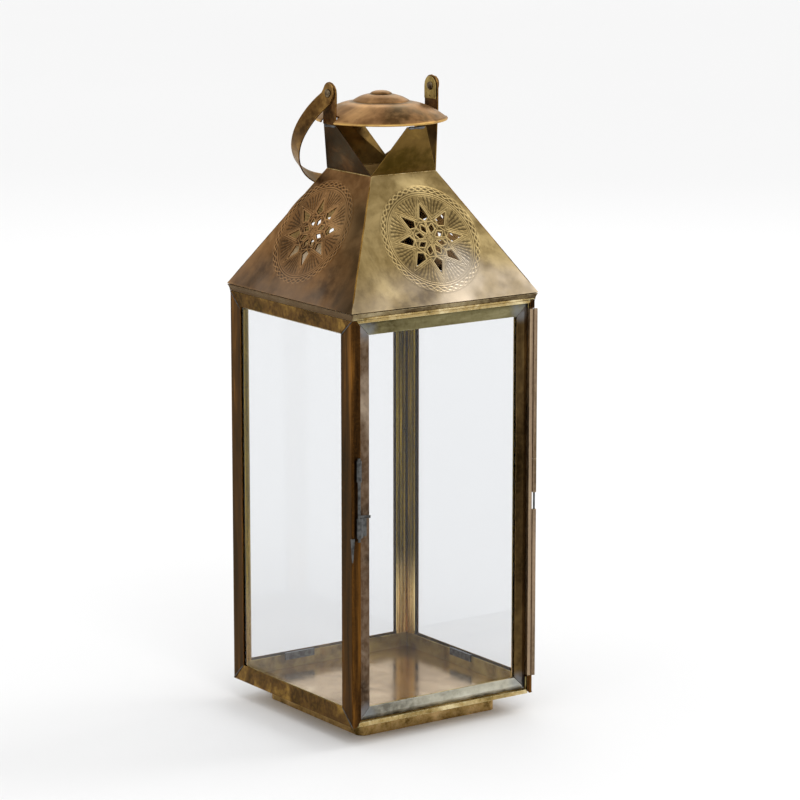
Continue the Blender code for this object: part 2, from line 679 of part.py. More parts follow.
def handle_path():
    """(across, out from the pivot line, angle round the circle) along the strap, tab to tab."""
    open_angle = math.asin(TAB_X / HANDLE_RADIUS)
    steps = 40
    sweep = 2 * (math.pi - open_angle)
    path = []
    for i in range(steps + 1):
        angle = open_angle + sweep * i / steps
        across = HANDLE_RADIUS * math.sin(angle)
        out = HANDLE_DROP - HANDLE_RADIUS * math.cos(angle)
        path.append((across, out, angle))
    return path


def tab_stations(sign):
    """Tab beyond the strap's fold: (across, out, half width), to its rounded end past the rivet."""
    end = TAB_END
    stations = []
    for share in (0.25, 0.55, 0.8, 0.95, 1.0):
        half = 0.95 * STRAP_HALF * math.sqrt(1.04 - share * share)
        stations.append((sign * TAB_X, -end * share, half))
    return stations


def add_handle():
    """Flat strap bent to a ring, with its ends folded flat against the ears."""
    pivot = add_pivot("handle_axis", (0, 0, PIVOT_Z))
    pivot.rotation_euler.x = -HANDLE_ANGLE
    rings = []

    def ring_at(across, out, thick_across, thick_out, half):
        a = Vector((across + thick_across / 2, out + thick_out / 2))
        b = Vector((across - thick_across / 2, out - thick_out / 2))
        return [(*a, half), (*b, half), (*b, -half), (*a, -half)]

    for across, out, half in reversed(tab_stations(1)):
        rings.append(ring_at(across, out, STRAP, 0, half))
    for across, out, angle in handle_path():
        outward = (math.sin(angle), -math.cos(angle))
        rings.append(ring_at(across, out, STRAP * outward[0], STRAP * outward[1], STRAP_HALF))
    for across, out, half in tab_stations(-1):
        rings.append(ring_at(across, out, -STRAP, 0, half))
    strap = add_object("handle_strap", loft(rings), "roof_brass", pivot, smooth=True)
    hole = RIVET + GAP
    drill = rod(hole, (-HANDLE_RADIUS, 0, 0), (HANDLE_RADIUS, 0, 0), 16)
    add_boolean(strap, "cutter_rivet_holes", drill, "DIFFERENCE")


def main():
    clear_scene()
    add_foot()
    add_floor_tray()
    add_frame()
    add_fixed_glass()
    add_rail_clips()
    add_eave_band()
    add_roof_and_neck()
    add_ears()
    add_rivets()
    add_cap()
    add_door()
    add_latch()
    add_handle()


main()
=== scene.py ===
"""Looks of a Moroccan brass and glass lantern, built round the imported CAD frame."""
import json
import math

import bmesh
import bpy
import numpy as np
from mathutils import Matrix, Vector, noise


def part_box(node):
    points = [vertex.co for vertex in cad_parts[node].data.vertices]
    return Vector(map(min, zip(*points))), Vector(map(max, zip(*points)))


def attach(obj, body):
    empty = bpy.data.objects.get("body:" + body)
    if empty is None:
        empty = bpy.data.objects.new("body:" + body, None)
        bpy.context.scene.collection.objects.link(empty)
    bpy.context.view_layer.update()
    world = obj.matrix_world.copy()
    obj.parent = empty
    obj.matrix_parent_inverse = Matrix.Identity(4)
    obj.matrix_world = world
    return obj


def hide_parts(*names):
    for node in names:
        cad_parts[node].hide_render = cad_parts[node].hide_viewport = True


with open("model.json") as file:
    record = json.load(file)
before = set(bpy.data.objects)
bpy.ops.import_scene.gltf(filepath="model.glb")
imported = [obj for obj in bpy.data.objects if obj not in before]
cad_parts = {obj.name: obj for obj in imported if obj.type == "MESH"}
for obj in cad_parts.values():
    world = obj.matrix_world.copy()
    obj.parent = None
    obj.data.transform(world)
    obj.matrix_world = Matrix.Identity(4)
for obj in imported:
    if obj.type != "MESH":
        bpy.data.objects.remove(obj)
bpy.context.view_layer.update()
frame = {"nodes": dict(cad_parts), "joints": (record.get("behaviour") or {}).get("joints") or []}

MM = 0.001

# Sizes read from the frame.
POST_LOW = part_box("post_front_left")[0]
ROOF_LOW, ROOF_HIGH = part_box("roof_panel_front")
TRAY_LOW, TRAY_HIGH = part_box("floor_tray")
CAP_LOW, CAP_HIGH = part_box("cap")
STRAP_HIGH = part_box("handle_strap")[1]
NECK_LOW, NECK_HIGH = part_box("neck_plate_front")
PIVOT_Z = [j["pos_m"][2] for j in frame["joints"] if j["name"] == "handle_swing"][0]
HALF = -POST_LOW.x                       # half the width of the body
BASE_Z = POST_LOW.z                      # bottom edge of the body
SHEET = TRAY_HIGH.z - TRAY_LOW.z         # thickness of the brass sheet
SIDE_TURN = {"front": 0, "right": 90, "back": 180, "left": -90}
CORNERS = ("front_left", "front_right", "back_left", "back_right")


# ---------------------------------------------------------------- mesh helpers

def add_piece(name, mesh, material, body="lantern", replaces=(), sharp=40):
    """Makes a visible piece that rides on a body and stands for CAD nodes."""
    mesh.shade_smooth()
    mesh.set_sharp_from_angle(angle=math.radians(sharp))
    mesh.materials.clear()
    mesh.materials.append(material)
    piece = bpy.data.objects.new(name, mesh)
    bpy.context.scene.collection.objects.link(piece)
    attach(piece, body)
    if replaces:
        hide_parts(*replaces)
    return piece


def mesh_from(points, faces, name="piece"):
    """Mesh with its faces turned outwards."""
    mesh = bpy.data.meshes.new(name)
    mesh.from_pydata([tuple(p) for p in points], [], [tuple(f) for f in faces])
    work = bmesh.new()
    work.from_mesh(mesh)
    bmesh.ops.recalc_face_normals(work, faces=work.faces)
    work.to_mesh(mesh)
    work.free()
    return mesh


def skin(rings, closed=False):
    """Mesh through rings of equal point count, capped at both ends or joined into a loop."""
    count = len(rings[0])
    points = [p for ring in rings for p in ring]
    faces = []
    last = len(rings) if closed else len(rings) - 1
    for k in range(last):
        low, high = k * count, (k + 1) % len(rings) * count
        for i in range(count):
            j = (i + 1) % count
            faces.append((low + i, low + j, high + j, high + i))
    if not closed:
        faces.append(range(count))
        faces.append(range(len(points) - count, len(points)))
    return mesh_from(points, faces)


def cut_out(mesh, cutter_mesh):
    """A new mesh: mesh with the other one cut out of it."""
    target = bpy.data.objects.new("boolean_target", mesh)
    cutter = bpy.data.objects.new("boolean_cutter", cutter_mesh)
    for item in (target, cutter):
        bpy.context.scene.collection.objects.link(item)
    step = target.modifiers.new("cut", "BOOLEAN")
    step.operation = "DIFFERENCE"
    step.object = cutter
    step.solver = "MANIFOLD"
    graph = bpy.context.evaluated_depsgraph_get()
    made = bpy.data.meshes.new_from_object(target.evaluated_get(graph))
    for item in (target, cutter):
        bpy.data.objects.remove(item)
    return made


def turned(mesh, degrees):
    """A copy of a mesh made for the front, turned about the upright axis."""
    copy = mesh.copy()
    copy.transform(Matrix.Rotation(math.radians(degrees), 4, "Z"))
    return copy


def smooth_line(points, count):
    """Points spread along a smooth curve through the given ones."""
    keys = [Vector(p) for p in points]
    keys = [2 * keys[0] - keys[1], *keys, 2 * keys[-1] - keys[-2]]
    made = []
    spans = len(keys) - 3
    for i in range(count):
        place = i / (count - 1) * spans
        k = min(int(place), spans - 1)
        t = place - k
        a, b, c, d = keys[k:k + 4]
        made.append(0.5 * (2 * b + (c - a) * t + (2 * a - 5 * b + 4 * c - d) * t * t
                           + (3 * b - a - 3 * c + d) * t ** 3))
    return made


def wobble(point, scale, amount):
    """Small smooth unevenness, as hand-beaten sheet has."""
    return amount * noise.noise(Vector(point) * scale)


# ---------------------------------------------------------------- materials

class Shader:
    """Short names for building a material's nodes."""

    def __init__(self, name):
        self.material = bpy.data.materials.new(name)
        self.material.use_nodes = True
        self.tree = self.material.node_tree
        self.main = self.tree.nodes["Principled BSDF"]
        self.coords = self.node("ShaderNodeTexCoord").outputs["Object"]

    def node(self, kind, **inputs):
        made = self.tree.nodes.new(kind)
        self.fill(made, inputs)
        return made

    def fill(self, made, inputs):
        for key, value in inputs.items():
            socket = made.inputs[key.replace("_", " ")]
            if isinstance(value, bpy.types.NodeSocket):
                self.tree.links.new(value, socket)
            else:
                socket.default_value = value

    def noise(self, scale, detail=4.0, rough=0.6, stretch=None, distortion=0.0):
        coords = self.coords
        if stretch:
            mapping = self.node("ShaderNodeMapping", Vector=coords, Scale=stretch)
            coords = mapping.outputs["Vector"]
        made = self.node("ShaderNodeTexNoise", Vector=coords, Scale=scale, Detail=detail,
                         Roughness=rough, Distortion=distortion)
        return made.outputs["Fac"]

    def ramp(self, value, low, high, start=0.0, end=1.0):
        """Maps value from low..high to start..end, clamped and eased."""
        made = self.node("ShaderNodeMapRange")
        made.interpolation_type = "SMOOTHSTEP"
        for socket, number in zip(list(made.inputs)[1:5], (low, high, start, end)):
            socket.default_value = number
        self.tree.links.new(value, made.inputs[0])
        return made.outputs[0]

    def math(self, operation, a, b=0.0):
        made = self.tree.nodes.new("ShaderNodeMath")
        made.operation = operation
        for socket, value in zip(made.inputs, (a, b)):
            if isinstance(value, bpy.types.NodeSocket):
                self.tree.links.new(value, socket)
            else:
                socket.default_value = value
        return made.outputs[0]

    def mix(self, share, a, b, kind="MIX"):
        made = self.tree.nodes.new("ShaderNodeMix")
        made.data_type = "RGBA"
        made.blend_type = kind
        for socket, value in ((made.inputs[0], share), (made.inputs[6], a), (made.inputs[7], b)):
            if isinstance(value, bpy.types.NodeSocket):
                self.tree.links.new(value, socket)
            elif isinstance(value, (int, float)):
                socket.default_value = value
            else:
                socket.default_value = (*value, 1.0)
        return made.outputs[2]

    def near(self, place, radius, soft):
        """1 close to a point, falling to 0 at radius."""
        made = self.tree.nodes.new("ShaderNodeVectorMath")
        made.operation = "DISTANCE"
        self.tree.links.new(self.coords, made.inputs[0])
        made.inputs[1].default_value = place
        return self.ramp(made.outputs["Value"], radius - soft, radius, 1.0, 0.0)

    def axis(self, name):
        return self.node("ShaderNodeSeparateXYZ", Vector=self.coords).outputs[name]


def tone(code):
    """Linear colour of a hex sRGB code."""
    shares = [int(code[i:i + 2], 16) / 255 for i in (0, 2, 4)]
    return tuple(c / 12.92 if c <= 0.04045 else ((c + 0.055) / 1.055) ** 2.4 for c in shares)


def scaled(colour, factor):
    return tuple(min(1.0, factor * c) for c in colour)


def edge_mask(s, engraved):
    """1 along sharp edges and ridges, 0 on flat metal."""
    if engraved:
        return s.ramp(s.node("ShaderNodeNewGeometry").outputs["Pointiness"], 0.52, 0.62)
    soft = s.node("ShaderNodeBevel", Radius=0.7 * MM)
    soft.samples = 4
    flat = s.tree.nodes.new("ShaderNodeVectorMath")
    flat.operation = "DOT_PRODUCT"
    s.tree.links.new(soft.outputs["Normal"], flat.inputs[0])
    s.tree.links.new(s.node("ShaderNodeNewGeometry").outputs["Normal"], flat.inputs[1])
    return s.ramp(flat.outputs["Value"], 0.99, 0.80)


def aged_brass(name, palette, rough=(0.30, 0.50), patch=22.0, wear=0.55, mottling=0.5,
               stretch=None, bump=0.25, extra=None, engraved=False):
    """Patinated brass: broad clouds, fine mottling, dark specks and bright worn edges.

    palette holds its dark, middle and light tones, patch is about how many clouds there are
    to a metre, and extra may change colour and roughness by place.
    """
    s = Shader(name)
    dark, middle, light = (tone(code) for code in palette.split())
    clouds = s.noise(patch, 5.0, 0.62, stretch, 0.4)
    mottle = s.noise(patch * 7, 6.0, 0.65)
    specks = s.noise(520.0, 3.0, 0.5)
    grain = s.noise(2600.0, 2.0, 0.5)
    colour = s.mix(s.ramp(clouds, 0.34, 0.52), dark, middle)
    colour = s.mix(s.ramp(clouds, 0.50, 0.70), colour, light)
    colour = s.mix(s.ramp(mottle, 0.40, 0.75, 0.0, mottling), colour, light)
    colour = s.mix(s.ramp(mottle, 0.50, 0.28, 0.0, mottling), colour, dark)
    speck = s.ramp(specks, 0.62, 0.74, 0.0, 0.8 * mottling)
    colour = s.mix(speck, colour, scaled(dark, 0.4))
    worn = s.math("MULTIPLY", edge_mask(s, engraved), s.ramp(mottle, 0.3, 0.6, 0.3 * wear, wear))
    colour = s.mix(worn, colour, scaled(light, 1.5))
    roughness = s.ramp(mottle, 0.3, 0.7, rough[0], rough[1])
    relief = s.math("ADD", s.math("MULTIPLY", mottle, 0.35), s.math("MULTIPLY", grain, 0.15))
    relief = s.math("ADD", relief, clouds)
    if engraved:
        cut = s.node("ShaderNodeAttribute")
        cut.attribute_name = "engrave"
        depth = cut.outputs["Fac"]
        colour = s.mix(s.ramp(depth, 0.35, 0.0, 0.0, 0.72), colour, scaled(dark, 0.42))
        colour = s.mix(s.ramp(depth, 0.55, 0.95, 0.0, 0.55), colour, scaled(light, 1.35))
    if extra:
        colour, roughness = extra(s, colour, roughness)
    height = s.node("ShaderNodeBump", Height=relief, Strength=bump, Distance=0.0004)
    s.fill(s.main, {"Base Color": colour, "Roughness": roughness, "Metallic": 1.0,
                    "Specular Tint": (1.0, 0.89, 0.74, 1.0), "Normal": height.outputs["Normal"]})
    return s.material


def solder(name, body):
    """Dull grey solder with darker flux stains."""
    s = Shader(name)
    stain = s.noise(260.0, 5.0, 0.6)
    colour = s.mix(s.ramp(stain, 0.35, 0.65), scaled(body, 0.35), body)
    bump = s.node("ShaderNodeBump", Height=stain, Strength=0.5, Distance=0.0005)
    s.fill(s.main, {"Base Color": colour, "Roughness": s.ramp(stain, 0.3, 0.7, 0.35, 0.6),
                    "Metallic": 1.0, "Normal": bump.outputs["Normal"]})
    return s.material


def pane_glass(name):
    """Clear thin glass: it lets light through, tints it a little and mirrors at low angles."""
    s = Shader(name)
    smear = s.noise(14.0, 4.0, 0.55)
    clear = s.node("ShaderNodeBsdfTransparent", Color=(0.944, 0.948, 0.953, 1.0))
    rough = s.ramp(smear, 0.4, 0.7, 0.02, 0.07)
    shine = s.node("ShaderNodeBsdfGlossy", Color=(1.0, 1.0, 1.0, 1.0), Roughness=rough)
    grazing = s.math("POWER", s.node("ShaderNodeLayerWeight", Blend=0.5).outputs["Facing"], 5.0)
    mirror = s.math("ADD", s.math("MULTIPLY", grazing, 0.9), 0.022)
    mixed = s.node("ShaderNodeMixShader", Fac=mirror)
    s.tree.links.new(clear.outputs[0], mixed.inputs[1])
    s.tree.links.new(shine.outputs[0], mixed.inputs[2])
    s.tree.links.new(mixed.outputs[0], s.tree.nodes["Material Output"].inputs["Surface"])
    s.tree.nodes.remove(s.main)
    return s.material


# ---------------------------------------------------------------- roof panels

GAP = 0.15 * MM                          # left between neighbouring panels, on each side
# Where each medallion is placed: (offset across, share of the slope, turn).
MEDALLION_SPOT = {
    "front": (0.055 * HALF, 0.487, 0.0),
    "right": (0.0, 0.487, 0.0),
    "back": (0.0, 0.487, 0.0),
    "left": (-0.099 * HALF, 0.51, math.radians(-12)),
}
POINTS = 8
STEP = 2 * math.pi / POINTS
# Openings: (outer tip, shoulders, inner tip, half the angle between the shoulders).
STAR_KITE = (0.34 * HALF, 0.22 * HALF, 0.18 * HALF, math.radians(12))
PETAL_KITE = (0.155 * HALF, 0.115 * HALF, 0.065 * HALF, math.radians(14))
# Radii of the medallion's drawing, from its centre outwards.
FAN_HUB = 0.13 * HALF                    # where the fans between the star's points spring from
PETAL_REACH = 0.165 * HALF
HUB_RING = 0.168 * HALF                  # eight-sided ring round the petals
HUB = 0.17 * HALF
STAR_NOTCH = 0.205 * HALF
STAR_TIP = 0.405 * HALF
DISC = 0.415 * HALF                      # the fans end here
BORDER_RINGS = ((0.452, 1.0), (0.432, 0.9), (0.418, 0.5))   # (share of HALF, strength)
ROPE = 0.488 * HALF                      # middle of the border's two crossing strands
ROPE_SWING = 0.018 * HALF
ROPE_TURNS = 22
OUTER_RING = 0.515 * HALF
MEDALLION = 0.53 * HALF
FINE_LINE = 0.42 * MM
RELIEF = 0.32 * MM                       # height of the chased lines
RAYS = 384                               # points in each ring of a panel's mesh


def roof_slope():
    """(distance out and height of the outer eave edge, slope angle, length up the slope)."""
    run, rise = ROOF_HIGH.y - ROOF_LOW.y, ROOF_HIGH.z - ROOF_LOW.z
    slope = math.atan2(rise, run)
    for _ in range(4):
        slope = math.atan2(rise - SHEET * math.cos(slope), run - SHEET * math.sin(slope))
    low_z = ROOF_LOW.z + SHEET * math.cos(slope)
    return -ROOF_LOW.y, low_z, slope, (ROOF_HIGH.z - low_z) / math.sin(slope)


EAVE_OUT, EAVE_Z, SLOPE, SLOPE_LENGTH = roof_slope()


def segment_distance(x, y, a, b):
    """Distance from each point to the straight line between a and b."""
    ax, ay = a
    dx, dy = b[0] - ax, b[1] - ay
    t = np.clip(((x - ax) * dx + (y - ay) * dy) / (dx * dx + dy * dy), 0, 1)
    return np.hypot(x - ax - t * dx, y - ay - t * dy)


def ridge(distance, width):
    """Rounded profile of a raised line: 1 on it, falling to 0 beyond its width."""
    return np.exp(-(distance / width) ** 2)


def kite_rim(x, y, shape):
    """Distance to a kite's outline, for a point folded onto its right-hand half."""
    tip, shoulder, heel, angle = shape
    side = (shoulder * math.sin(angle), shoulder * math.cos(angle))
    outer_side = segment_distance(x, y, (0, tip), side)
    return np.minimum(outer_side, segment_distance(x, y, side, (0, heel)))


def engraving(u, v, first_turn):
    """Height of the chased pattern, 0 in its ground and 1 on its strongest lines."""
    r, turn = np.hypot(u, v), np.arctan2(u, v) - first_turn
    # Folded onto half a point of the star: x, y from its tip's axis, across, along from its notch.
    fold = np.abs((turn + STEP / 2) % STEP - STEP / 2)
    x, y = r * np.sin(fold), r * np.cos(fold)
    across, along = r * np.sin(STEP / 2 - fold), r * np.cos(STEP / 2 - fold)
    notch = (STAR_NOTCH * math.sin(STEP / 2), STAR_NOTCH * math.cos(STEP / 2))
    tip = (0.0, STAR_TIP)
    star = segment_distance(x, y, tip, notch)
    past_edge = (notch[1] - tip[1]) * (x - tip[0]) - (notch[0] - tip[0]) * (y - tip[1])
    between_points = (past_edge < 0) & (r > HUB)
    star_lines = (ridge(star, FINE_LINE), 0.8 * ridge(star - 1.5 * MM, FINE_LINE))
    point_rims = ridge(kite_rim(x, y, STAR_KITE) - 0.7 * MM, 0.5 * MM) * (r > HUB)
    petal_rims = ridge(kite_rim(across, along, PETAL_KITE) - 0.6 * MM, 0.5 * MM) * (r < PETAL_REACH)
    spokes = ridge(x - 0.55 * MM, 0.35 * MM) * (r < HUB)
    hub_ring = ridge(y - HUB_RING, FINE_LINE)
    boss = ridge(r, 1.6 * MM)
    height = np.maximum.reduce([*star_lines, point_rims, petal_rims, spokes, hub_ring, boss])

    fan = np.arctan2(across, np.maximum(along - FAN_HUB, 1e-6))
    strokes = 0.5 + 0.5 * np.cos(fan * 44 + 0.5 * np.sin(r / HALF * 40))
    scales = 0.5 + 0.5 * np.sin((along - 0.2 * HALF) / HALF * 150 + 2 * np.cos(fan * 10))
    leaves = 0.62 * strokes * (0.45 + 0.55 * scales)
    height = np.where(between_points & (r < DISC), np.maximum(height, leaves), height)

    borders = [strength * ridge(r - radius * HALF, FINE_LINE) for radius, strength in BORDER_RINGS]
    swing = ROPE_SWING * np.sin(ROPE_TURNS * turn)
    borders += [ridge(r - ROPE - sign * swing, 0.55 * MM) for sign in (-1, 1)]
    borders.append(0.7 * ridge(r - OUTER_RING, 0.5 * MM))
    return np.maximum.reduce([height, *borders]) * (r < MEDALLION)


def roof_point(u, v, height):
    """Place on the front roof panel: u across, v up the slope, height off its face."""
    return (u, -(EAVE_OUT - v * math.cos(SLOPE)) - height * math.sin(SLOPE),
            EAVE_Z + v * math.sin(SLOPE) + height * math.cos(SLOPE))


def panel_edge(angles, across, up):
    """Where each direction from the medallion's centre meets the panel's outline."""
    du, dv = np.sin(angles), np.cos(angles)
    lean = math.cos(SLOPE)
    reach = EAVE_OUT - GAP - up * lean
    far = np.full(len(angles), np.inf)
    for sign in (-1, 1):
        closing = sign * du + lean * dv
        meet = (reach - sign * across) / np.where(closing > 0, closing, np.nan)
        far = np.fmin(far, meet)
    for v in (SLOPE_LENGTH - up, -up):
        meet = v / np.where(dv * v > 0, dv, np.nan)
        far = np.fmin(far, meet)
    edge = np.stack([far * du, far * dv], 1)
    for v in (-up, SLOPE_LENGTH - up):
        for sign in (-1, 1):
            corner = np.array([sign * (reach - v * lean) - across, v])
            edge[np.argmin(np.linalg.norm(edge - corner, axis=1))] = corner
    return edge


def panel_rings(across, up):
    """Rings of (u, v) points from the medallion's centre out to the panel's outline.

    Each comes with its share of the sheet's dents, which die out towards the outline. The
    second value is how many of the rings lie on the medallion.
    """
    angles = np.arange(RAYS) * 2 * math.pi / RAYS
    way = np.stack([np.sin(angles), np.cos(angles)], 1)
    edge = panel_edge(angles, across, up)
    radii = np.concatenate([np.linspace(0.012, 0.41, 76), np.linspace(0.42, 0.53, 26)]) * HALF
    rings = [(way * r, 1.0) for r in radii]
    for t in np.linspace(0, 1, 15)[1:]:
        rings.append((way * radii[-1] * (1 - t) + edge * t, 1 - t * t))
    return rings, len(radii)


def roof_panel_mesh(side):
    """Panel with its medallion in relief, then pierced by the star and petals."""
    across, share, first_turn = MEDALLION_SPOT[side]
    up = share * SLOPE_LENGTH
    rings, on_medallion = panel_rings(across, up)
    points = []
    for ring, calm in rings:
        lift = RELIEF * engraving(ring[:, 0], ring[:, 1], first_turn)
        for (u, v), h in zip(ring, lift):
            h += calm * wobble((u, v, SIDE_TURN[side]), 38, 0.3 * MM)
            points.append(roof_point(u + across, v + up, h))
    # The underside needs few rings. The outer ones are drawn in sideways, for the hips' mitre.
    last = len(rings) - 1
    under = ((last, 1.0), (last - 5, 0.6), (on_medallion, 0.0), (60, 0.0), (20, 0.0), (0, 0.0))
    for k, inset in under:
        for u, v in rings[k][0]:
            u += across
            u -= math.copysign(min(inset * SHEET * math.sin(SLOPE), abs(u)), u)
            points.append(roof_point(u, v + up, -SHEET))
    loops = [points[k:k + RAYS] for k in range(0, len(points), RAYS)]
    mesh = cut_out(skin(loops), piercing_mesh(across, up, first_turn))
    mark_engraving(mesh, across, up, first_turn)
    return mesh


def piercing_mesh(across, up, first_turn):
    """Prisms for the eight star points and the eight petals."""
    points, faces = [], []
    for i in range(2 * POINTS):
        tip, shoulder, heel, half_angle = PETAL_KITE if i % 2 else STAR_KITE
        turn = first_turn + i * STEP / 2
        kite = [(tip, 0), (shoulder, half_angle), (heel, 0), (shoulder, -half_angle)]
        first = len(points)
        for height in (-3 * MM, 3 * MM):
            for r, a in kite:
                u, v = across + r * math.sin(turn + a), up + r * math.cos(turn + a)
                points.append(roof_point(u, v, height))
        faces += [range(first, first + 4), range(first + 4, first + 8)]
        for k in range(4):
            j = (k + 1) % 4
            faces.append((first + k, first + j, first + 4 + j, first + 4 + k))
    return mesh_from(points, faces)


def mark_engraving(mesh, across, up, first_turn):
    """Stores the pattern's height on each point, for the material to darken its ground."""
    spots = np.empty(len(mesh.vertices) * 3, np.float32)
    mesh.vertices.foreach_get("co", spots)
    spots = spots.reshape(-1, 3)
    u = spots[:, 0] - across
    rise, run = spots[:, 2] - EAVE_Z, spots[:, 1] + EAVE_OUT
    v = rise * math.sin(SLOPE) + run * math.cos(SLOPE) - up
    inside = np.hypot(u, v) < MEDALLION - 0.005 * HALF
    plain = 0.5
    depth = np.where(inside, engraving(u, v, first_turn), plain)
    engrave = mesh.attributes.new("engrave", "FLOAT", "POINT")
    engrave.data.foreach_set("value", depth.astype(np.float32))


def roof_tone(side):
    """Painted light over one panel: a painted highlight towards its eave, paler on the front and
    back and greyer on the sides, and painted shade along a hip.
    """
    # Front and back panels get a stronger painted eave highlight and a lighter, narrower painted
    # hip shade.
    pale = side in ("front", "back")
    eave_highlight_share, eave_highlight_tone = (0.9, tone("ecdac2")) if pale else (0.5, tone("7a6c60"))
    hip_shade_share, hip_shade_tone = (0.5, tone("5c4a26")) if pale else (0.95, tone("2a1a04"))
    hip_shade_width = (34 if pale else 52) * MM
    across, share, _ = MEDALLION_SPOT[side]
    # Centre of a paler, silvery patch on the front panel, below and to the right of its medallion.
    pale_spot = roof_point(across + 0.2 * HALF, share * SLOPE_LENGTH - 0.3 * HALF, 0.0)

    def tint(s, colour, roughness):
        cloud = s.noise(30.0, 3.0, 0.5)
        # Painted highlight: paler towards the eave, in soft clouds.
        low = s.ramp(s.axis("Z"), EAVE_Z + 34 * MM, EAVE_Z, 0.0, eave_highlight_share)
        low = s.math("MULTIPLY", low, s.ramp(cloud, 0.3, 0.6, 0.35, 1.0))
        if side == "front":
            # On the front the painted eave highlight grows towards the right.
            rightwards = s.ramp(s.axis("X"), -0.6 * HALF, 0.5 * HALF, 0.3, 1.0)
            low = s.math("MULTIPLY", low, rightwards)
            silver = s.math("MULTIPLY", s.near(pale_spot, 0.32 * HALF, 0.25 * HALF), 0.55)
            colour = s.mix(silver, colour, tone("b4aca0"))
        colour = s.mix(low, colour, eave_highlight_tone)
        # Painted shade along the front-left and back-right hips, weaker up near the neck.
        off_hip = s.math("ABSOLUTE", s.math("SUBTRACT", s.axis("Y"), s.axis("X")))
        hip = s.ramp(off_hip, hip_shade_width, 0.0)
        below_neck = s.ramp(s.axis("Z"), NECK_LOW.z, NECK_LOW.z - 30 * MM, 0.25, 1.0)
        hip = s.math("MULTIPLY", hip, below_neck)
        hip = s.math("MULTIPLY", hip, s.ramp(cloud, 0.35, 0.6, 0.7 * hip_shade_share, hip_shade_share))
        return s.mix(hip, colour, hip_shade_tone), roughness
    return tint


def add_roof():
    # Each side's palette is partly its own patina and partly painted light: paler for the front and
    # back, darker and browner for the left and right.
    palettes = {
        "front": "46361e 806c44 b49e6e",
        "left": "38200a 785430 b0885a",
        "back": "54401e 8a6e42 a88c5c",
        "right": "4a3214 7a5a34 9c7848",
    }
    for side, turn in SIDE_TURN.items():
        look = aged_brass(f"roof_brass_{side}", palettes[side], rough=(0.28, 0.44), patch=15.0,
                          mottling=0.26, bump=0.15, extra=roof_tone(side), engraved=True)
        add_piece(f"engraved_roof_{side}", turned(roof_panel_mesh(side), turn), look,
                  replaces=[f"roof_panel_{side}"], sharp=50)


# ---------------------------------------------------------------- cap, ears and handle

# The cap's outer face, from rim to button: (share of its radius, share of its height).
CAP_PROFILE = (
    (0.995, 0.035), (0.97, 0.10), (0.933, 0.16), (0.817, 0.332), (0.62, 0.534), (0.47, 0.612),
    (0.432, 0.640), (0.415, 0.672), (0.385, 0.712), (0.317, 0.79), (0.225, 0.858), (0.178, 0.875),
    (0.165, 0.895), (0.142, 0.94), (0.095, 0.978), (0.05, 0.995), (0.012, 1.0),
)
CAP_GROOVES = (0.455, 0.18)              # where its two steps start, as shares of its radius
# The strap's section: (share of its half width, share of its thickness).
STRAP_SECTION = (
    (-1, -0.35), (-0.97, 0.5), (-0.86, 0.5), (-0.5, 0.36), (0, 0.32), (0.5, 0.36), (0.86, 0.5),
    (0.97, 0.5), (1, -0.35), (0.9, -0.5), (0.5, -0.42), (0, -0.4), (-0.5, -0.42), (-0.9, -0.5),
)
STRAP_THICK = 1.2 * MM
STRAP_HANG = math.radians(52)            # how far below level the strap hangs at rest


def spun(profile, count):
    """Solid of revolution about the Z axis, through (radius, height) points."""
    rings = []
    for r, z in profile:
        angles = [2 * math.pi * i / count for i in range(count)]
        rings.append([(r * math.cos(a), r * math.sin(a), z) for a in angles])
    return skin(rings)


def block(low, high):
    work = bmesh.new()
    middle, size = (Vector(low) + Vector(high)) / 2, Vector(high) - Vector(low)
    place = Matrix.Translation(middle) @ Matrix.Diagonal((*size, 1))
    bmesh.ops.create_cube(work, size=1.0, matrix=place)
    mesh = bpy.data.meshes.new("block")
    work.to_mesh(mesh)
    work.free()
    return mesh


def cap_outline():
    """(radius, height) of the cap's sheet: over its top, round the rolled rim and back below."""
    rim, low = CAP_HIGH.y, CAP_LOW.z
    height = CAP_HIGH.z - low
    roll = 0.9 * MM
    outer = smooth_line([Vector((r * rim, low + h * height)) for r, h in CAP_PROFILE], 90)
    lip = [Vector((rim - roll + roll * math.cos(a), low + roll + roll * math.sin(a)))
           for a in np.linspace(0.6, -math.pi - 0.3, 12)]
    inner = [Vector((max(p.x - 0.5 * SHEET, 0.5 * MM), p.y - SHEET)) for p in outer
             if p.x < rim - 3 * MM]
    return [tuple(p) for p in (*outer[::-1], *lip, *inner)]


def cap_mesh():
    """Spun cap: a rolled rim, two steps and a button, dented, and cut where the ears pass."""
    top, low = CAP_HIGH.z, CAP_LOW.z
    mesh = spun(cap_outline(), 144)
    for corner in mesh.vertices:
        dent = wobble(corner.co, 55, 0.35 * MM) + wobble(corner.co, 18, 0.4 * MM)
        calm = min(1.0, (top - corner.co.z) / (4 * MM) + 0.2)
        above_rim = corner.co.z > low + 2.2 * MM
        corner.co.z += dent * calm * above_rim
    notch_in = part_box("ear_backing_right")[0].x - 1.2 * MM
    notch_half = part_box("ear_right")[1].y + 0.6 * MM
    for sign in (-1, 1):
        near, far = sorted((sign * notch_in, sign * 1.6 * notch_in))
        notch = block((near, -notch_half, low - 5 * MM), (far, notch_half, PIVOT_Z))
        mesh = cut_out(mesh, notch)
    return mesh


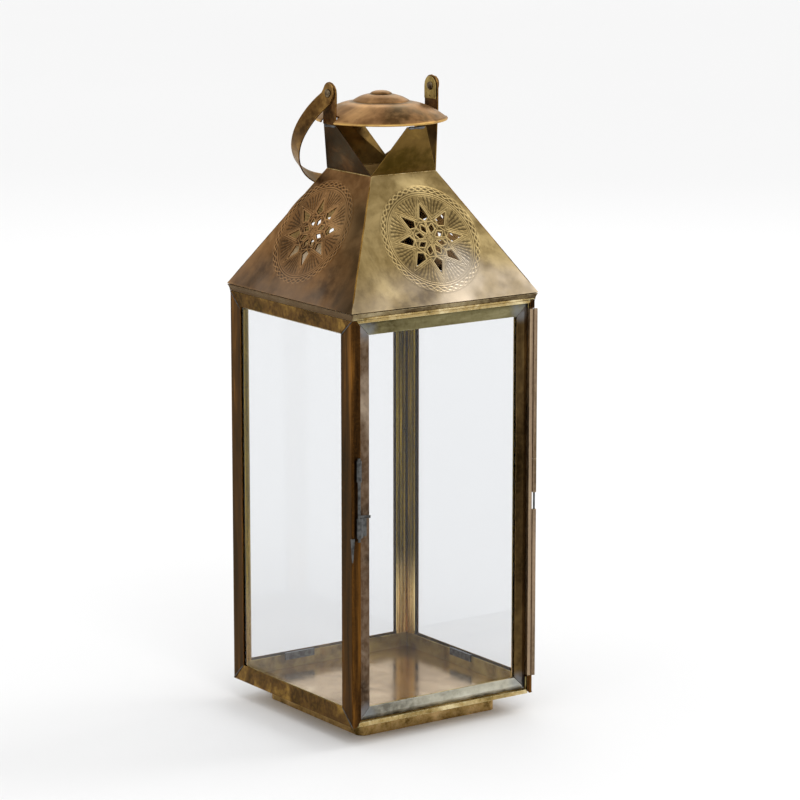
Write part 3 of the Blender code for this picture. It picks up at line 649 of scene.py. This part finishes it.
def strap_path():
    """(x, way out, direction, half width) along the strap, level, from one ear to the other."""
    radius = STRAP_HIGH.x - STRAP_THICK / 2
    ring_centre = 0.652 * radius
    half_width = 0.11584 * radius
    tab_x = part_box("ear_right")[1].x + 0.3 * MM + STRAP_THICK / 2
    tab_length = 8 * MM
    start = math.asin(tab_x / radius)
    ring_steps = 96
    tab = []
    for share in (1.0, 0.985, 0.93, 0.84, 0.7, 0.52, 0.3, 0.1):
        half = half_width * 0.95 * math.sqrt(1.03 - share * share)
        tab.append((tab_x, -tab_length * share, half))
    path = [(x, out, math.pi / 2, half) for x, out, half in tab]
    for i in range(ring_steps + 1):
        angle = start + (2 * math.pi - 2 * start) * i / ring_steps
        out = ring_centre - radius * math.cos(angle)
        path.append((radius * math.sin(angle), out, angle, half_width))
    path += [(-x, out, 1.5 * math.pi, half) for x, out, half in reversed(tab)]
    return path


def strap_mesh():
    """Handle: a flat strap with rolled edges, bent to a ring and folded flat at both ears."""
    turn = Matrix.Rotation(-STRAP_HANG, 3, "X")
    loops = []
    for x, out, angle, half in strap_path():
        normal = Vector((math.sin(angle), -math.cos(angle), 0))
        beaten = abs(out) > 10 * MM
        loop = []
        for across, depth in STRAP_SECTION:
            place = Vector((x, out, across * half)) + normal * depth * STRAP_THICK
            place += normal * wobble(place, 60, 0.25 * MM) * beaten
            loop.append(turn @ place + Vector((0, 0, PIVOT_Z)))
        loops.append(loop)
    return skin(loops)


def rivet_mesh():
    """Hand-headed rivet: low irregular domes on both ends of a shank, drawn for the front."""
    low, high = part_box("handle_rivet_right")
    outer, inner = -high.x, -low.x
    head = 0.5 * (high.y - low.y)
    head_height, shank = 1.05 * MM, 1.6 * MM
    dome = [(0.04, 0.0), (0.45, 0.10), (0.8, 0.38), (0.97, 0.72), (1.0, 1.0)]
    stations = [(outer + depth * MM, share * head) for share, depth in dome]
    stations += [(outer + head_height, shank), (inner - head_height, shank)]
    stations += [(inner - depth * MM, share * head) for share, depth in reversed(dome)]
    loops = []
    for y, r in stations:
        loop = []
        for i in range(32):
            a = 2 * math.pi * i / 32
            uneven = 1 + 0.06 * math.sin(3 * a + 1) * (r > 2 * MM)
            reach = r * uneven * 0.95
            loop.append((reach * math.cos(a), y, PIVOT_Z + reach * math.sin(a)))
        loops.append(loop)
    return skin(loops)


def add_top(looks):
    add_piece("spun_cap", cap_mesh(), looks["cap"], replaces=["cap"], sharp=60)
    add_piece("carrying_strap", strap_mesh(), looks["strap"], body="handle",
              replaces=["handle_strap"], sharp=50)
    rivet = rivet_mesh()
    for side in ("left", "right"):
        add_piece(f"rivet_{side}", turned(rivet, SIDE_TURN[side]), looks["rivet"],
                  replaces=[f"handle_rivet_{side}"])


# ---------------------------------------------------------------- seams and solder

def bead_mesh(start, end, radius, seed, uneven=0.12):
    """Uneven bead of metal run along a joint, thinner towards its ends."""
    sides, spacing = 10, 1.5 * MM
    start, end = Vector(start), Vector(end)
    along = end - start
    turn = along.to_track_quat("Z", "Y").to_matrix()
    steps = max(6, int(along.length / spacing))
    rings = []
    for i in range(steps + 1):
        t = i / steps
        taper = min(1.0, 8 * t + 0.25, 8 * (1 - t) + 0.25)
        middle = start + along * t
        size = radius * taper * (1 + uneven * noise.noise(Vector((seed, i * 0.35, 0))))
        loop = []
        for k in range(sides):
            a = 2 * math.pi * k / sides
            loop.append(middle + turn @ Vector((size * math.cos(a), size * math.sin(a), 0)))
        rings.append(loop)
    return skin(rings)


def add_mitre_seams(looks):
    """Thin lines of dark solder along the mitres between rails and posts."""
    post_low, post_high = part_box("post_back_left")
    inner = HALF - (post_high.x - post_low.x)
    outer = HALF - 0.5 * MM
    for side in ("left", "back", "right"):
        place = Matrix.Rotation(math.radians(SIDE_TURN[side]), 3, "Z")
        for level in ("bottom", "top"):
            low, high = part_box(f"{level}_rail_{side}")
            far, near = (low.z, high.z) if level == "bottom" else (high.z, low.z)
            for end, sign in (("a", -1), ("b", 1)):
                start = place @ Vector((sign * inner, -HALF, near))
                stop = place @ Vector((sign * outer, -HALF, far))
                seam = bead_mesh(start, stop, 0.45 * MM, SIDE_TURN[side] + sign + near, 0.5)
                add_piece(f"mitre_{level}_{side}_{end}", seam, looks["wire"])


def add_eave_lip(looks):
    """Rolled lip along the bottom of the front fascia."""
    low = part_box("eave_band")[0].z
    ends = [(sign * (HALF - 1.5 * MM), -HALF - 0.1 * MM, low + 0.7 * MM) for sign in (-1, 1)]
    add_piece("eave_lip", bead_mesh(*ends, 0.9 * MM, 3, 0.08), looks["lip"])


def add_seams(looks):
    """Hips of the roof, the fold at the neck's foot, and the solder under the cap."""
    neck_out = EAVE_OUT - SLOPE_LENGTH * math.cos(SLOPE)
    neck_z = ROOF_HIGH.z
    eave_at, neck_at = EAVE_OUT - 0.9 * MM, neck_out - 0.3 * MM
    for i, (sx, sy) in enumerate(((-1, -1), (1, -1), (1, 1), (-1, 1))):
        low = (sx * eave_at, sy * eave_at, EAVE_Z + 0.6 * MM)
        high = (sx * neck_at, sy * neck_at, neck_z - 0.4 * MM)
        hip = bead_mesh(low, high, 0.6 * MM, i)
        add_piece(f"hip_seam_{i}", hip, looks["seam"])
    fold_half, fold_y, fold_z = neck_out - 0.8 * MM, -neck_out - 0.1 * MM, neck_z + 0.15 * MM
    tip_half, tip_y, tip_z = 0.09 * HALF, NECK_LOW.y + 0.1 * MM, NECK_HIGH.z - 0.9 * MM
    for side, turn in SIDE_TURN.items():
        place = Matrix.Rotation(math.radians(turn), 3, "Z")
        ends = [place @ Vector((sign * fold_half, fold_y, fold_z)) for sign in (-1, 1)]
        fold = bead_mesh(*ends, 0.5 * MM, 9 + turn)
        add_piece(f"neck_fold_{side}", fold, looks["bright"])
        ends = [place @ Vector((sign * tip_half, tip_y, tip_z)) for sign in (-1, 1)]
        drop = bead_mesh(*ends, 1.1 * MM, 20 + turn, 0.5)
        add_piece(f"neck_solder_{side}", drop, looks["solder"])


def ridged_angle_mesh(corner):
    """Angle inside a post, with small ribs run along both of its flanges."""
    low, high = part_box(f"inner_angle_{corner}")
    sx, sy = (-1 if "left" in corner else 1), (-1 if "front" in corner else 1)
    width_x, width_y = high.x - low.x, high.y - low.y
    outer_x, outer_y = (high.x if sx > 0 else low.x), (high.y if sy > 0 else low.y)
    ribs = 3                             # on each flange
    rib = 0.55 * MM
    steps = 36
    inner = []
    for i in range(steps + 1):
        t = 1 - i / steps
        depth = SHEET + rib * abs(math.sin(ribs * math.pi * t)) * min(1.0, 12 * (1 - t) + 0.2)
        inner.append((SHEET + t * (width_x - SHEET), depth))
    inner += [(y, x) for x, y in reversed(inner[:-1])]
    ring = [*inner, (0.0, width_y), (0.0, 0.0), (width_x, 0.0)]
    ring = [(outer_x - sx * a, outer_y - sy * b) for a, b in ring]
    return skin([[(x, y, z) for x, y in ring] for z in (low.z, high.z)])


def add_inner_angles(looks):
    for corner in CORNERS:
        add_piece(f"ridged_angle_{corner}", ridged_angle_mesh(corner), looks["inner"],
                  replaces=[f"inner_angle_{corner}"], sharp=60)


# ---------------------------------------------------------------- carried-over CAD nodes

def dress(node, material, bevel=0.22 * MM):
    """Gives a CAD node its material, and rounds its edges a little."""
    thing = frame["nodes"][node]
    thing.data.materials.clear()
    thing.data.materials.append(material)
    if bevel:
        weld = thing.modifiers.new("weld", "WELD")
        weld.merge_threshold = 0.01 * MM
        soft = thing.modifiers.new("soft_edges", "BEVEL")
        soft.width = bevel
        soft.segments = 2
        soft.limit_method = "ANGLE"
        soft.angle_limit = math.radians(35)


def solder_at(places, radius, strength):
    """Grey-blue solder stain round the given points, for aged_brass."""
    def tint(s, colour, roughness):
        cover = None
        ragged = s.noise(180.0, 4.0, 0.6)
        for place in places:
            spot = s.near(place, radius, 0.7 * radius)
            cover = spot if cover is None else s.math("MAXIMUM", cover, spot)
        cover = s.math("MULTIPLY", cover, s.ramp(ragged, 0.3, 0.55, 0.4, 1.0))
        cover = s.math("MULTIPLY", cover, strength)
        return s.mix(cover, colour, (0.22, 0.235, 0.25)), roughness
    return tint


def painted_low_highlight(s, colour, roughness):
    """Painted highlight: brighter gold towards the floor, in patches."""
    low = s.ramp(s.axis("Z"), BASE_Z + 90 * MM, BASE_Z + 35 * MM, 0.0, 0.95)
    patches = s.ramp(s.noise(120.0, 3.0, 0.5, (1.0, 1.0, 0.12)), 0.35, 0.6, 0.4, 1.0)
    return s.mix(s.math("MULTIPLY", low, patches), colour, tone("ffe09a")), roughness


def rim_and_grooves(s, colour, roughness):
    """Bright ring round the cap's rolled rim, and painted shade in the grooves of its steps."""
    x, y = s.axis("X"), s.axis("Y")
    radius = s.math("SQRT", s.math("ADD", s.math("MULTIPLY", x, x), s.math("MULTIPLY", y, y)))
    for groove in CAP_GROOVES:
        off = s.math("ABSOLUTE", s.math("SUBTRACT", radius, groove * CAP_HIGH.y))
        groove_shade = s.ramp(off, 2.2 * MM, 0.3 * MM, 0.0, 0.75)
        colour = s.mix(groove_shade, colour, tone("2c1e10"))
    low = s.ramp(s.axis("Z"), CAP_LOW.z + 2.4 * MM, CAP_LOW.z + 0.8 * MM)
    patches = s.ramp(s.noise(90.0, 3.0, 0.5), 0.3, 0.55, 0.3, 0.9)
    return s.mix(s.math("MULTIPLY", low, patches), colour, tone("d0a860")), roughness


def paler_inside(s, colour, roughness):
    """Paler gold over the inner walls, in patches."""
    out = s.math("MAXIMUM", s.math("ABSOLUTE", s.axis("X")), s.math("ABSOLUTE", s.axis("Y")))
    inside = s.ramp(out, HALF - 1.5 * SHEET, HALF - 2.5 * SHEET)
    inside = s.math("MULTIPLY", inside, s.ramp(s.noise(60.0, 4.0, 0.6), 0.35, 0.65, 0.25, 0.85))
    return s.mix(inside, colour, tone("b8a870")), roughness


def painted_shade_left(s, colour, roughness):
    """Painted shade over the fascia's left face, which turns away from the light."""
    left = s.ramp(s.axis("X"), -HALF + 0.6 * MM, -HALF + 0.1 * MM, 0.0, 0.85)
    return s.mix(left, colour, tone("4e3a28")), roughness


def dress_frame(looks):
    """Material and softened edges for every CAD node that stays visible."""
    for node in frame["nodes"]:
        if node.startswith("post_") and node != "post_knuckle":
            dress(node, looks["post"])
        elif node.startswith(("bottom_rail", "top_rail")):
            dress(node, looks["rail"])
        elif node.startswith("glass_clip"):
            dress(node, looks["solder"], 0.15 * MM)
        elif node in ("latch_tongue", "latch_keeper", "latch_guide"):
            dress(node, looks["wire"], 0.15 * MM)
        elif node.startswith("glass_") or node == "door_glass":
            dress(node, looks["glass"], 0.0)
        elif node.startswith("neck_plate"):
            dress(node, looks["neck_left"] if node.endswith("left") else looks["neck"])
        elif node in ("ear_left", "ear_right"):
            dress(node, looks["ear"])
        elif node.startswith("ear_backing"):
            dress(node, looks["backing"])
    dress("foot", looks["foot"], 0.4 * MM)
    dress("floor_tray", looks["tray"])
    dress("eave_band", looks["band"], 0.3 * MM)
    dress("door_sill", looks["lip"], 0.3 * MM)
    dress("door_head", looks["lip"], 0.3 * MM)
    dress("door_rail_bottom", looks["door_low"])
    dress("door_rail_top", looks["door_top"])
    dress("door_stile_latch", looks["door"])
    dress("door_stile_hinge", looks["door_shaded"])
    dress("door_hinge_leaf", looks["leaf"])
    for node in ("door_knuckle_bottom", "door_knuckle_top", "post_knuckle"):
        dress(node, looks["leaf"], 0.12 * MM)
    dress("hinge_pin", looks["wire"], 0.1 * MM)
    dress("latch_pin", looks["wire"], 0.1 * MM)


def make_looks():
    """All materials by name. The brasses' colours are dark, middle and light, as sRGB codes."""
    door_low, door_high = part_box("door_rail_bottom")
    door_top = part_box("door_rail_top")[1].z
    door_corners = [(x, door_low.y, z) for x in (door_low.x + 6 * MM, door_high.x - 6 * MM)
                    for z in (door_low.z + 4 * MM, door_top - 4 * MM)]
    solder_stain = solder_at(door_corners, 13 * MM, 0.6)
    upright = (1.0, 1.0, 0.06)
    return {
        "post": aged_brass("post_brass", "1c1006 3c2610 845824", patch=90.0, stretch=upright,
                           wear=0.9, mottling=0.15, bump=0.08),
        "rail": aged_brass("rail_brass", "301e08 543a1c 9a783a", patch=45.0,
                           mottling=0.35, extra=paler_inside),
        "foot": aged_brass("foot_brass", "5c4618 a88a54 d0b07c", patch=60.0, mottling=0.4),
        "inner": aged_brass("inner_brass", "3a2e04 6c5a10 b8962c", patch=160.0,
                            stretch=(1.0, 1.0, 0.05), mottling=0.2, rough=(0.22, 0.38),
                            extra=painted_low_highlight),
        "tray": aged_brass("tray_brass", "9a8672 c2ae96 e6d6be", patch=12.0, mottling=0.2,
                           rough=(0.14, 0.22), bump=0.01),
        "band": aged_brass("band_brass", "4a3a24 807050 b4a684", patch=30.0, mottling=0.25,
                           wear=0.9, extra=painted_shade_left),
        # The lip's bright palette is partly its own colour and partly a painted highlight.
        "lip": aged_brass("lip_brass_highlit", "7a6434 b09660 e8d6a8", patch=40.0, mottling=0.25,
                          wear=0.9, rough=(0.24, 0.38)),
        "door": aged_brass("door_brass", "2c2016 5c4836 a4927e", patch=30.0, mottling=0.3,
                           stretch=(0.5, 1.0, 0.5), wear=0.9, extra=solder_stain),
        # The bottom rail's pale palette is partly its own colour and partly a painted highlight.
        "door_low": aged_brass("door_brass_pale_highlit", "6c685c b2ae9c e2e0d0", patch=24.0, mottling=0.3,
                               stretch=(0.3, 1.0, 1.0), wear=0.9, extra=solder_stain),
        "door_top": aged_brass("door_brass_olive", "443a20 746c4a a29a76", patch=40.0,
                               stretch=(0.3, 1.0, 1.0), wear=0.9, mottling=0.25,
                               extra=solder_stain),
        # The hinge stile's dark palette is painted shade, as it sits in a recess.
        "door_shaded": aged_brass("door_brass_shaded", "1c1206 40301a 7c643c", patch=60.0,
                                stretch=(0.3, 1.0, 0.1), wear=1.0, mottling=0.2,
                                extra=solder_stain),
        "leaf": aged_brass("leaf_brass", "50402a 96806a c0aa86", patch=60.0, stretch=upright,
                           wear=0.8, mottling=0.25),
        "neck": aged_brass("neck_brass", "46360f 6b532a 98783c", patch=20.0,
                           wear=0.9, mottling=0.25),
        # The left neck plate's dark palette is partly its patina and partly painted shade, as the
        # left faces turn away from the light.
        "neck_left": aged_brass("neck_brass_dark_shaded", "140e08 2c2014 64462a", patch=24.0,
                                mottling=0.25),
        "ear": aged_brass("ear_brass", "34200c 5c3c1e 92703e", patch=50.0, wear=0.9, mottling=0.3),
        "backing": aged_brass("backing_brass", "5c4a24 8a7440 b39c62", patch=90.0, wear=0.8),
        "rivet": aged_brass("rivet_brass", "2c2218 54442f 96866c", patch=220.0, wear=0.7),
        "cap": aged_brass("cap_brass", "443018 7e5a38 b88e5e", patch=16.0, wear=0.9,
                          mottling=0.35, bump=0.15, rough=(0.30, 0.44), extra=rim_and_grooves),
        "strap": aged_brass("strap_brass", "38240e 5c4020 a07c44", patch=30.0,
                            wear=1.0, mottling=0.3),
        "bright": aged_brass("bright_brass", "7a6434 a48c58 d2bc8c", patch=80.0,
                             rough=(0.25, 0.4)),
        "seam": aged_brass("seam_brass", "3a270c 6c4c1e b08c48", patch=20.0,
                           mottling=0.2, bump=0.1),
        "solder": solder("grey_solder", (0.19, 0.195, 0.20)),
        "wire": solder("tarnished_wire", (0.13, 0.13, 0.125)),
        "glass": pane_glass("clear_glass"),
    }


# ---------------------------------------------------------------- stage, light and camera

def add_stage():
    """Pale floor, wide enough to fill the view."""
    s = Shader("pale_stage")
    cloud = s.noise(0.8, 2.0, 0.5)
    s.fill(s.main, {"Base Color": s.mix(cloud, (0.85, 0.85, 0.85), (0.87, 0.87, 0.87)),
                    "Roughness": 0.9, "Specular IOR Level": 0.1})
    work = bmesh.new()
    bmesh.ops.create_circle(work, cap_ends=True, segments=96, radius=30.0)
    mesh = bpy.data.meshes.new("pale_floor")
    work.to_mesh(mesh)
    work.free()
    mesh.materials.append(s.material)
    floor = bpy.data.objects.new("pale_floor", mesh)
    bpy.context.scene.collection.objects.link(floor)


def add_light(name, place, target, size, power):
    """White softbox at a place, aimed at a target."""
    lamp = bpy.data.lights.new(name, "AREA")
    lamp.shape = "RECTANGLE"
    lamp.size, lamp.size_y = size
    lamp.energy = power
    thing = bpy.data.objects.new(name, lamp)
    thing.location = place
    thing.rotation_euler = (Vector(target) - Vector(place)).to_track_quat("-Z", "Y").to_euler()
    bpy.context.scene.collection.objects.link(thing)


def add_lights():
    """Even white surroundings, two softboxes and a wide, weak sun for a soft shadow."""
    world = bpy.data.worlds.new("soft_studio")
    world.use_nodes = True
    world.node_tree.nodes["Background"].inputs["Color"].default_value = (1.0, 1.0, 1.0, 1.0)
    world.node_tree.nodes["Background"].inputs["Strength"].default_value = 0.95
    bpy.context.scene.world = world
    middle = (0, 0, 0.25)
    add_light("key", (-0.5, -1.7, 2.1), middle, (0.9, 0.7), 9)
    add_light("back", (1.4, 1.6, 1.6), middle, (1.2, 0.9), 6)
    sun = bpy.data.lights.new("sun", "SUN")
    sun.energy = 0.6
    sun.angle = math.radians(28)
    thing = bpy.data.objects.new("sun", sun)
    thing.rotation_euler = Vector((0.8, -0.1, 0.75)).to_track_quat("Z", "Y").to_euler()
    bpy.context.scene.collection.objects.link(thing)
    bpy.context.scene.view_settings.view_transform = "Standard"


def add_camera():
    """Long lens, a little above the lantern, turned towards its front left corner."""
    azimuth, elevation = math.radians(-34.9), math.radians(11.48)
    distance = 31 * HALF
    aside, up = 0.169, 2.705             # where it aims, as shares of HALF
    level = math.cos(elevation)
    back = Vector((math.sin(azimuth) * level, -math.cos(azimuth) * level, math.sin(elevation)))
    right = Vector((math.cos(azimuth), math.sin(azimuth), 0))
    lens = bpy.data.cameras.new("camera")
    lens.sensor_width = 36
    lens.lens = 152.4
    lens.clip_end = 50
    camera = bpy.data.objects.new("camera", lens)
    aim = right * aside * HALF + Vector((0, 0, BASE_Z + up * HALF))
    camera.location = back * distance + aim
    camera.rotation_euler = back.to_track_quat("Z", "Y").to_euler()
    bpy.context.scene.collection.objects.link(camera)
    bpy.context.scene.camera = camera


def main():
    looks = make_looks()
    dress_frame(looks)
    add_roof()
    add_top(looks)
    add_seams(looks)
    add_mitre_seams(looks)
    add_eave_lip(looks)
    add_inner_angles(looks)
    add_stage()
    add_lights()
    add_camera()


main()
